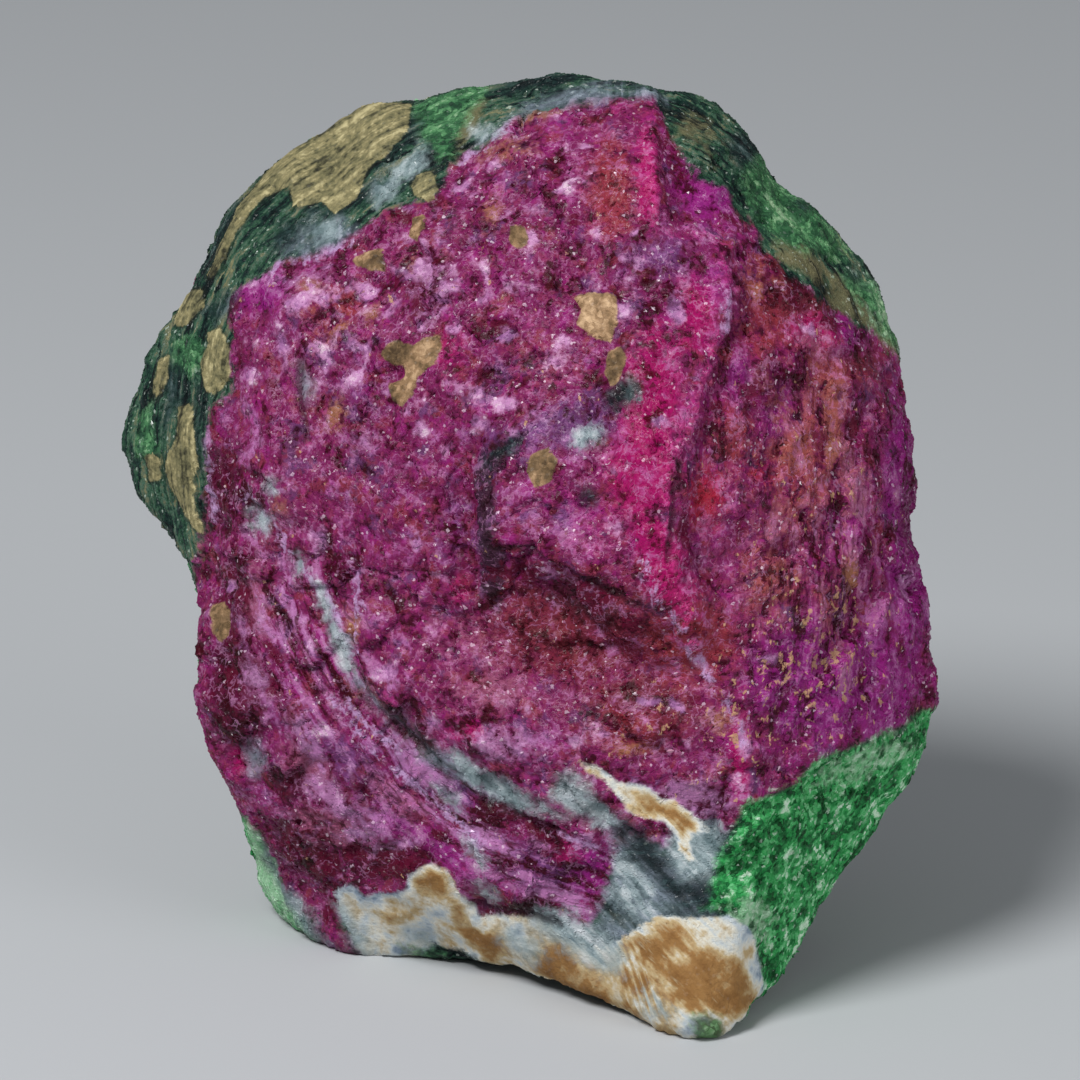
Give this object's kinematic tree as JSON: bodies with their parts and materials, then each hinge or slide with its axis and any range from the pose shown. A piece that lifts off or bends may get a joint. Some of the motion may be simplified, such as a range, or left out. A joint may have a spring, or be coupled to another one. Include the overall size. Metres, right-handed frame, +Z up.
{
  "type": "rough ruby in zoisite stone",
  "caption": "Rough broken stone with a ridged show face, a raised boss, a vein groove and a flat foot that it stands on.",
  "frame": {"origin": "on the table, under the middle of the stone's box in X and Y", "axes": "+Z up from the table, the show face towards -Y and leaning back 18 degrees, +X to the right of a viewer who faces it"},
  "size_m": [0.083, 0.0694, 0.0857],
  "materials": {
    "stone": "rough broken crystalline rock: mottled ruby red with green, tan and white patches, fine sparkle"
  },
  "bodies": {
    "root": {"stone": "stone"}
  },
  "joints": []
}
